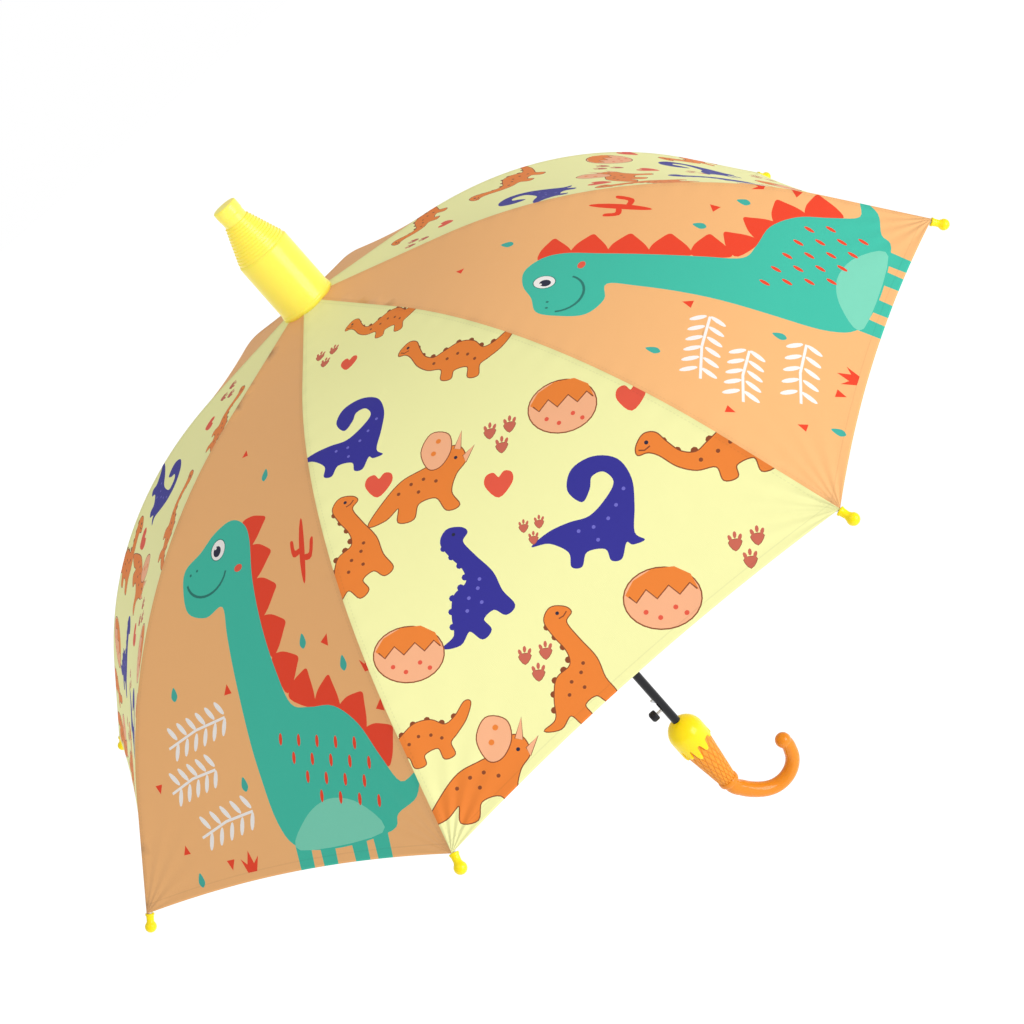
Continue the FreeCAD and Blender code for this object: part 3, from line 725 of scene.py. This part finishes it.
def cloth_material():
    """Printed woven polyester with stitched seams and hem, a paler inside and some light through it."""
    made = new_material("cloth", YELLOW_CLOTH, 0.62)
    nodes, links = made.node_tree.nodes, made.node_tree.links
    shader = nodes["Principled BSDF"]
    shader.inputs["Sheen Weight"].default_value = 0.05
    shader.inputs["Specular IOR Level"].default_value = 0.35
    times = partial(math_node, made, "MULTIPLY")
    times_plus = partial(math_node, made, "MULTIPLY_ADD")
    wave = partial(math_node, made, "SINE")
    fade = partial(math_node, made, "EXPONENT")
    below = partial(math_node, made, "LESS_THAN")
    near = partial(math_node, made, "COMPARE")

    # Puckers along the seams, stitch lines, and creases that fan out from the gore's corners.
    seam, hem, along = (stored_value(made, name) for name in ("seam", "hem", "along"))
    pucker = times(wave(times(along, PUCKER_WAVES)), fade(times(seam, -PUCKER_FADE)))
    dash = math_node(made, "GREATER_THAN", wave(times(along, STITCH_WAVES)), STITCH_GAP)
    seam_stitches = times(near(seam, SEAM_STITCH, STITCH_WIDTH), dash)
    stitches = math_node(made, "MAXIMUM", seam_stitches, near(hem, HEM_STITCH, STITCH_WIDTH))
    from_corner = math_node(made, "SQRT", times_plus(seam, seam, times(hem, hem)))
    fan = wave(times(math_node(made, "ARCTAN2", seam, hem), CREASES))
    creases = times(fan, fade(times(from_corner, -CREASE_FADE)))

    # Relief: the weave, and each feature with its own share.
    threads = nodes.new("ShaderNodeTexChecker")
    threads.inputs["Scale"].default_value = THREAD_SCALE
    where = nodes.new("ShaderNodeTexCoord")
    links.new(where.outputs["Object"], threads.inputs["Vector"])
    height = times(threads.outputs["Fac"], 0.08)
    for feature, share in ((pucker, 0.7), (below(hem, HEM_FOLD), 0.12), (stitches, -0.3),
                           (noise(made, SLUB_SCALE), 0.8), (creases, 2.2)):
        height = times_plus(feature, share, height)
    add_bump(made, height, 0.4, 0.0008)

    # Colour: the print, darker at the stitches, paler at the cut edge and on the inside.
    tone = times_plus(stitches, -0.07, 1.0)
    tone = times_plus(below(hem, HEM_EDGE), 0.12, tone)
    outside = mixed(made, 1.0, stored_value(made, "print", "Color"), tone, "MULTIPLY")
    inner_side = nodes.new("ShaderNodeNewGeometry").outputs["Backfacing"]
    colour = mixed(made, times(inner_side, INSIDE_PALER), outside, (*WHITE, 1))
    links.new(colour, shader.inputs["Base Color"])
    through = nodes.new("ShaderNodeBsdfTranslucent")
    links.new(outside, through.inputs["Color"])
    both = nodes.new("ShaderNodeMixShader")
    both.inputs["Fac"].default_value = LIGHT_THROUGH
    links.new(shader.outputs["BSDF"], both.inputs[1])
    links.new(through.outputs["BSDF"], both.inputs[2])
    links.new(both.outputs["Shader"], nodes["Material Output"].inputs["Surface"])
    return made


def plastic(name, colour, roughness, scatter=0.0, coat=0.3, shine=0.5, glow=0.0):
    """Moulded plastic; glow stands for the light that comes through a thin wall."""
    made = new_material(name, colour, roughness, 0.0, coat)
    shader = made.node_tree.nodes["Principled BSDF"]
    shader.inputs["Specular IOR Level"].default_value = shine
    shader.inputs["Emission Color"].default_value = (*colour, 1)
    shader.inputs["Emission Strength"].default_value = glow
    shader.inputs["Subsurface Weight"].default_value = scatter
    shader.inputs["Subsurface Radius"].default_value = (0.010, 0.007, 0.003)
    shader.inputs["Subsurface Scale"].default_value = 1.0
    add_bump(made, noise(made, 260.0), 0.12, 0.0004)
    return made


def waffle_plastic(name, colour):
    """Orange plastic, with painted shade that darkens the grooves of the waffle grid."""
    made = plastic(name, colour, 0.34, scatter=0.05, coat=0.1, shine=0.2)
    # Painted shade: the grooves get a darker copy of the orange.
    groove_shade = (colour[0] * 0.85, colour[1] * 0.7, colour[2] * 0.5, 1)
    painted = mixed(made, stored_value(made, "groove"), (*colour, 1), groove_shade)
    made.node_tree.links.new(painted, made.node_tree.nodes["Principled BSDF"].inputs["Base Color"])
    return made


def metal(name, colour, roughness):
    """Drawn or pressed steel with a fine grain."""
    made = new_material(name, colour, roughness, metallic=0.9)
    add_bump(made, noise(made, 900.0), 0.15, 0.0002)
    return made


# --- Turned and swept pieces ---

def ring_faces(rings, columns, upwards=True):
    """Quads between rings of points that follow each other up the axis, or down it."""
    faces = []
    for ring in range(rings - 1):
        this, following = ring * columns, (ring + 1) * columns
        for i in range(columns):
            j = (i + 1) % columns
            if upwards:
                faces.append((this + i, this + j, following + j, following + i))
            else:
                faces.append((this + i, following + i, following + j, this + j))
    return faces


def lathe(name, profile, base=(0, 0, 0), axis=(0, 0, 1), segments=72):
    """Surface turned about an axis through base, from (radius, height) points."""
    turn = Vector((0, 0, 1)).rotation_difference(Vector(axis)).to_matrix()
    angles = np.linspace(0, 2 * math.pi, segments, endpoint=False)
    points = []
    for radius, height in profile:
        for angle in angles:
            spoke = Vector((radius * math.cos(angle), radius * math.sin(angle), height))
            points.append(Vector(base) + turn @ spoke)
    return weld(mesh_object(name, points, ring_faces(len(profile), segments)))


def weld(piece):
    """Joins the coincident points at the poles."""
    made = piece.modifiers.new("weld", "WELD")
    made.merge_threshold = 1e-6
    return piece


def rounded(corners, radius, steps=4):
    """Profile through corners, each inner corner rounded."""
    out = [corners[0]]
    for before, corner, after in zip(corners, corners[1:], corners[2:]):
        b, c, a = (np.array(p, float) for p in (before, corner, after))
        run_in, run_out = np.linalg.norm(b - c), np.linalg.norm(a - c)
        start = c + (b - c) / run_in * min(radius, run_in / 2.1)
        end = c + (a - c) / run_out * min(radius, run_out / 2.1)
        for t in np.linspace(0, 1, steps):
            out.append(tuple((1 - t) ** 2 * start + 2 * t * (1 - t) * c + t**2 * end))
    return out + [corners[-1]]


def finish_piece(piece, material, body, slot, *nodes):
    """Gives a piece its material and its body, and hides the CAD nodes it stands for. The slot argument is
    not used.
    """
    piece.data.materials.append(material)
    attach(piece, body)
    if nodes:
        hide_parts(*nodes)


def seat_on_cloth(piece, rim_top):
    """Lowers the rim's points onto the crown of the cloth."""
    for vertex in piece.data.vertices:
        if vertex.co.z < rim_top:
            gap = (math.atan2(vertex.co.y, vertex.co.x) - FIRST_RIB - HALF_GORE) % (2 * HALF_GORE)
            off_centre = min(gap, 2 * HALF_GORE - gap)
            reach = math.hypot(vertex.co.x, vertex.co.y) * math.cos(off_centre) / math.cos(HALF_GORE)
            vertex.co.z = APEX - (reach - RIDGE_START) * math.tan(CROWN_SLOPE)


def build_cover(material, pale):
    """Drip cover pushed together: lipped outer section, nested rings and the neck."""
    low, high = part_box("drip_cover_outer")
    neck_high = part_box("drip_cover_neck")[1]
    rings_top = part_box("drip_cover_sections")[1].z
    body, neck = high.x - COVER_LIP, neck_high.x

    outer = [(body - COVER_WALL, low.z + 1 * MM), (body - COVER_WALL, low.z), (high.x, low.z),
             (high.x, low.z + 2.6 * MM), (body, low.z + 3.6 * MM), (body - 0.3 * MM, high.z - 1.5 * MM),
             (body - 1.2 * MM, high.z), (body - 2.2 * MM, high.z)]
    skin = lathe("drip_cover_outer_skin", rounded(outer, 0.5 * MM), segments=96)
    seat_on_cloth(skin, low.z + 0.6 * MM)
    finish_piece(skin, material, "shaft", "yellow_plastic", "drip_cover_outer")

    rings = [(body - 1.6 * MM, high.z - 3 * MM)]
    first, last = body - 1.5 * MM, neck + 0.9 * MM
    for step in range(COVER_RINGS):
        radius = first - (first - last) * step / (COVER_RINGS - 1)
        bottom = high.z + (rings_top - high.z) * step / COVER_RINGS
        top = high.z + (rings_top - high.z) * (step + 1) / COVER_RINGS
        rings += [(radius, bottom - RING_GROOVE), (radius, top), (radius - 0.6 * MM, top),
                  (radius - 0.7 * MM, top - RING_GROOVE)]
    skin = lathe("drip_cover_rings", rounded(rings, 0.3 * MM, 3), segments=96)
    finish_piece(skin, material, "shaft", "yellow_plastic", "drip_cover_sections")

    collar = [(neck - 0.4 * MM, rings_top - 2 * MM), (neck - 0.4 * MM, neck_high.z - 9 * MM),
              (neck, neck_high.z - 8.2 * MM), (neck, neck_high.z - 0.8 * MM), (neck - 1 * MM, neck_high.z),
              (0.0, neck_high.z)]
    skin = lathe("drip_cover_neck_skin", rounded(collar, 0.5 * MM))
    # The neck gets the paler copy of the cover's plastic: painted light on the top of the cover.
    finish_piece(skin, pale, "shaft", "yellow_plastic", "drip_cover_neck")


def build_tips(material):
    """Ball caps on the rib ends."""
    along = Vector((math.cos(HEM_SLOPE), 0, -math.sin(HEM_SLOPE)))
    inwards = Vector((-math.sin(HEM_SLOPE), 0, -math.cos(HEM_SLOPE)))
    radius, drop, _ = ridge(np.array([CLOTH_END]))
    base = Vector((radius[0], 0, APEX - drop[0])) + inwards * CAP_DEPTH
    sleeve = [(1.9 * MM, 0), (3.3 * MM, 0), (3.4 * MM, 1 * MM), (2.9 * MM, 2 * MM), (2.7 * MM, 5.6 * MM)]
    ball = [(CAP_BALL_RADIUS * math.cos(a), CAP_BALL_HEIGHT + CAP_BALL_RADIUS * math.sin(a))
            for a in np.linspace(-0.75, math.pi / 2, 14)]
    for rib in range(1, RIBS + 1):
        turn = Matrix.Rotation(FIRST_RIB + 2 * HALF_GORE * (rib - 1), 3, "Z")
        cap = lathe(f"tip_ball_{rib}", sleeve + ball, turn @ base, turn @ along, 32)
        finish_piece(cap, material, f"rib_tip_{rib}", "tip_yellow", f"tip_cap_{rib}")


def skirt_edge(angle):
    """Height of the scoop's lower edge at one angle, where the drips hang."""
    reach = SKIRT_DEPTH
    for place, length in DRIPS:
        gap = (angle - math.radians(place) + math.pi) % (2 * math.pi) - math.pi
        reach += (length + DRIP_EXTRA) * math.exp(-((gap / DRIP_WIDTH) ** 4))
    return SCOOP_CENTRE - reach * MM


def skirt_point(share, edge):
    """Radius and height on the skirt, from the ball at share 0 to the edge at share 1."""
    z = SCOOP_CENTRE - (SCOOP_CENTRE - edge) * math.sin(share * math.pi / 2)
    past = max(0.0, (share - 1 + SCOOP_LIP) / SCOOP_LIP)
    lip = math.sqrt(max(0.0, 1 - past**2))
    over = (SCOOP_RADIUS - cone_radius(SCOOP_CENTRE)) * (1 - share) ** 1.5 + SCOOP_THICKNESS
    return min(SCOOP_RADIUS, cone_radius(z) - SCOOP_INSET + (over + SCOOP_INSET) * lip), z


def build_scoop(material):
    """Ice cream over the cone: a ball whose skirt runs down in drips of uneven length."""
    columns, rows = 288, 72
    angles = [2 * math.pi * i / columns for i in range(columns)]
    edges = [skirt_edge(angle) for angle in angles]
    points = []
    for row in range(rows):
        share = 2 * row / (rows - 1)
        for angle, edge in zip(angles, edges):
            if share < 1:
                polar = share * math.pi / 2
                r, z = SCOOP_RADIUS * math.sin(polar), SCOOP_CENTRE + SCOOP_RADIUS * math.cos(polar)
            else:
                r, z = skirt_point(share - 1, edge)
            points.append((r * math.cos(angle), r * math.sin(angle), z))
    skin = weld(mesh_object("scoop_skin", points, ring_faces(rows, columns, upwards=False)))
    finish_piece(skin, material, "shaft", "tip_yellow", "handle_scoop")


def cone_radius(z):
    """Radius of the waffle cone at a height."""
    share = (z - CONE_BOTTOM) / (CONE_TOP - CONE_BOTTOM)
    return CONE_SMALL + (CONE_LARGE - CONE_SMALL) * min(max(share, 0), 1)


def build_cone(waffle, material):
    """Waffle cone with a diamond grid of grooves, and a rounded collar below."""
    columns, rows = 360, 170
    points, grooves = [], []
    for row in range(rows + 1):
        z = CONE_TOP - (CONE_TOP - CONE_BOTTOM) * row / rows
        plain = cone_radius(z)
        twist = WAFFLE_TWIST * math.log(plain / CONE_SMALL) / math.log(CONE_LARGE / CONE_SMALL)
        for i in range(columns):
            angle = 2 * math.pi * i / columns
            nearest = min(abs(math.sin((angle * WAFFLE_SPIRALS + way * twist) / 2)) for way in (-1, 1))
            groove = math.exp(-((nearest / WAFFLE_GROOVE_WIDTH) ** 2))
            radius = plain - WAFFLE_GROOVE_DEPTH * groove
            grooves.append(groove)
            points.append((radius * math.cos(angle), radius * math.sin(angle), z))
    skin = mesh_object("cone_skin", points, ring_faces(rows + 1, columns, upwards=False))
    # The groove values also set where the plastic's painted shade falls.
    add_values(skin.data, "groove", "FLOAT", "POINT", grooves)
    finish_piece(skin, waffle, "shaft", "orange_plastic", "handle_cone")
    top, low = CONE_BOTTOM, COLLAR_BOTTOM
    collar = [(8.6 * MM, top + 0.8 * MM), (9.4 * MM, top + 0.4 * MM), (9.8 * MM, top - 1.2 * MM),
              (9.8 * MM, low + 1.2 * MM), (9.0 * MM, low), (6 * MM, low)]
    ring = lathe("cone_collar", rounded(collar, 0.6 * MM), segments=64)
    finish_piece(ring, material, "shaft", "orange_plastic")


def hook_point(share):
    """Centre and turn of the hook: a short bend, a straight run and the round bend."""
    entry = HOOK_ENTRY_RADIUS * HOOK_ENTRY_TURN
    bend = HOOK_BEND_RADIUS * (HOOK_TURN - HOOK_ENTRY_TURN)
    length = share * (entry + HOOK_RUN + bend)
    turn = min(length, entry) / HOOK_ENTRY_RADIUS
    run = min(max(length - entry, 0.0), HOOK_RUN)
    last = turn + max(length - entry - HOOK_RUN, 0.0) / HOOK_BEND_RADIUS
    out = HOOK_ENTRY_RADIUS * (1 - math.cos(turn)) + run * math.sin(turn)
    out += HOOK_BEND_RADIUS * (math.cos(turn) - math.cos(last))
    down = HOOK_ENTRY_RADIUS * math.sin(turn) + run * math.cos(turn)
    down += HOOK_BEND_RADIUS * (math.sin(last) - math.sin(turn))
    return Vector((out, 0, COLLAR_BOTTOM - HOOK_DROP - down)), last


def swept(name, centres, sides, radii, columns):
    """Closed tube through centres; each ring stands on a pair of side directions."""
    angles = [2 * math.pi * i / columns for i in range(columns)]
    points = []
    for centre, (side, other), radius in zip(centres, sides, radii):
        for a in angles:
            points.append(centre + side * radius * math.cos(a) + other * radius * math.sin(a))
    faces = ring_faces(len(centres), columns)
    faces.append(tuple(range(columns)))
    faces.append(tuple(len(points) - 1 - i for i in range(columns)))
    return mesh_object(name, points, faces)


def build_hook(material):
    """Tapered J-hook with a ball end. Its line is the mean of the route round each point."""
    rows, side_way = 80, Vector((0, 1, 0))
    centres = [Vector((0, 0, COLLAR_BOTTOM + 1 * MM))]
    sides = [(Vector((1, 0, 0)), side_way)]
    radii = [HOOK_START_RADIUS]
    for row in range(rows + 1):
        share = row / rows
        reach = min(HOOK_EASE, share, 1 - share)
        around = [hook_point(share + reach * (step / 4 - 1)) for step in range(9)]
        centres.append(sum((centre for centre, _ in around), Vector()) / len(around))
        turn = sum(angle for _, angle in around) / len(around)
        sides.append((Vector((math.cos(turn), 0, math.sin(turn))), side_way))
        radii.append(HOOK_START_RADIUS + (HOOK_END_RADIUS - HOOK_START_RADIUS) * share)
    hook = swept("hook_skin", centres, sides, radii, 40)
    finish_piece(hook, material, "shaft", "orange_plastic", "handle_hook")
    ball = [(HOOK_BALL_RADIUS * math.sin(a), -HOOK_BALL_RADIUS * math.cos(a))
            for a in np.linspace(0, math.pi, 28)]
    tip = lathe("hook_ball", ball, centres[-1], segments=48)
    finish_piece(tip, material, "shaft", "orange_plastic")


def build_knob(material):
    """Push knob of the release, a short rounded cylinder that points away from the shaft."""
    low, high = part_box("release_knob")
    length, radius = high.x - low.x, (high.z - low.z) / 2
    profile = [(0.8 * MM, 0), (radius - 0.8 * MM, 0), (radius, 1.2 * MM), (radius, length - 1.6 * MM),
               (radius - 1.8 * MM, length), (0, length)]
    knob = lathe("knob_skin", rounded(profile, 0.8 * MM), (high.x, 0, (low.z + high.z) / 2), (-1, 0, 0), 40)
    finish_piece(knob, material, "release", "knob_plastic", "release_knob")


def build_spring(material):
    """Opening spring inside the shaft, pressed together when the umbrella closes."""
    low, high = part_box("opening_spring")
    steps = SPRING_TURNS * SPRING_TURN_POINTS
    centres, sides = [], []
    for step in range(steps + 1):
        a = 2 * math.pi * step / SPRING_TURN_POINTS
        out = Vector((math.cos(a), math.sin(a), 0))
        height = low.z + SPRING_WIRE + (high.z - low.z - 2 * SPRING_WIRE) * step / steps
        centres.append(out * SPRING_RADIUS + Vector((0, 0, height)))
        sides.append((out, Vector((0, 0, 1))))
    coil = swept("spring_coil", centres, sides, [SPRING_WIRE] * len(centres), 6)
    finish_piece(coil, material, "shaft", "spring_steel", "opening_spring")
    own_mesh(coil)


def paint_frame(materials):
    """Gives the CAD nodes that stay shown their materials."""
    for node, material in materials.items():
        for piece in [o for o in bpy.data.objects if o.get("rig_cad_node", "").startswith(node)]:
            piece.data.materials.clear()
            piece.data.materials.append(material)


# --- Light, floor and camera ---

def area_light(name, place, target, size, power):
    """Square lamp that points at a target."""
    lamp = bpy.data.lights.new(name, "AREA")
    lamp.size = size
    lamp.energy = power
    made = bpy.data.objects.new(name, lamp)
    bpy.context.scene.collection.objects.link(made)
    made.location = place
    made.rotation_euler = (Vector(target) - Vector(place)).to_track_quat("-Z", "Y").to_euler()


def camera_axes():
    """The camera's right, up and back directions."""
    level = math.cos(CAMERA_ELEVATION)
    right = Vector((math.cos(CAMERA_AZIMUTH), math.sin(CAMERA_AZIMUTH), 0))
    back = Vector((right.y * level, -right.x * level, math.sin(CAMERA_ELEVATION)))
    up = back.cross(right)
    cosine, sine = math.cos(CAMERA_ROLL), math.sin(CAMERA_ROLL)
    return cosine * right - sine * up, sine * right + cosine * up, back


def set_camera():
    """Camera of the main view."""
    right, up, back = camera_axes()
    data = bpy.data.cameras.new("camera")
    data.lens = CAMERA_LENS
    data.sensor_width = CAMERA_SENSOR
    data.clip_end = CAMERA_CLIP_END
    camera = bpy.data.objects.new("camera", data)
    bpy.context.scene.collection.objects.link(camera)
    place = Vector((0, 0, APEX)) + right * CAMERA_RIGHT - up * CAMERA_DOWN + back * CAMERA_BACK
    turn = Matrix((right, up, back)).transposed().to_4x4()
    camera.matrix_world = Matrix.Translation(place) @ turn
    bpy.context.scene.camera = camera


def set_lights():
    """Key and fill lamps, and a white surround that looks brighter than it lights."""
    right, up, back = camera_axes()
    target = Vector((0, 0, APEX - LIGHT_TARGET_DROP))
    area_light("key", target + right * 1.6 + up * 0.5 + back * 1.6, target, 1.4, KEY_POWER)
    area_light("fill", target - right * 1.2 + up * 1.0 + back * 2.0, target, 2.2, FILL_POWER)
    world = bpy.data.worlds.new("world")
    world.use_nodes = True
    nodes, links = world.node_tree.nodes, world.node_tree.links
    ray = nodes.new("ShaderNodeLightPath")
    strength = nodes.new("ShaderNodeMix")
    strength.inputs["A"].default_value = AMBIENT
    strength.inputs["B"].default_value = 1.0
    links.new(ray.outputs["Is Camera Ray"], strength.inputs["Factor"])
    background = nodes["Background"]
    background.inputs["Color"].default_value = (1, 1, 1, 1)
    links.new(strength.outputs["Result"], background.inputs["Strength"])
    bpy.context.scene.world = world
    bpy.context.scene.view_settings.view_transform = "Standard"


def set_floor():
    """Plain pale floor, low enough to leave the views from below free."""
    signs = ((-1, -1), (1, -1), (1, 1), (-1, 1))
    corners = [(x * FLOOR_HALF, y * FLOOR_HALF, FLOOR_HEIGHT) for x, y in signs]
    floor = mesh_object("floor", corners, [(0, 1, 2, 3)])
    pale = new_material("floor", (0.9, 0.9, 0.9), 0.9)
    shader = pale.node_tree.nodes["Principled BSDF"]
    shader.inputs["Emission Color"].default_value = (1, 1, 1, 1)
    shader.inputs["Emission Strength"].default_value = FLOOR_GLOW
    floor.data.materials.append(pale)


def main():
    """Builds the visible pieces, the lights and the camera."""
    thin = {"scatter": 0.4, "coat": 0.15, "shine": 0.4, "glow": 0.16}
    cover = plastic("cover_yellow", rgb(254, 233, 82), 0.3, **thin)
    # The neck's plastic is a paler copy of the cover's: painted light on the top of the cover.
    neck = plastic("cover_lit_pale", rgb(254, 236, 96), 0.34, **thin)
    tips = plastic("tip_yellow", rgb(255, 226, 0), 0.28, scatter=0.1, coat=0.2, shine=0.3, glow=0.06)
    orange = plastic("orange_plastic", rgb(240, 144, 26), 0.26, scatter=0.05, coat=0.4, shine=0.2)
    waffle = waffle_plastic("waffle_plastic", rgb(246, 160, 50))
    steel = metal("steel", (0.62, 0.63, 0.65), 0.32)
    enamel = plastic("black_enamel", (0.004, 0.004, 0.007), 0.22, coat=0.12, shine=0.3)
    dull_black = plastic("black_plastic", (0.010, 0.010, 0.013), 0.42, coat=0.0, shine=0.3)
    build_canopy(cloth_material())
    build_cover(cover, neck)
    build_tips(tips)
    build_scoop(tips)
    build_cone(waffle, orange)
    build_hook(orange)
    build_knob(dull_black)
    build_spring(steel)
    paint_frame({"rib_": steel, "stretcher_": steel, "shaft_tube": enamel, "top_notch": dull_black,
                 "runner": dull_black, "release_lever": steel})
    set_camera()
    set_lights()
    set_floor()


main()
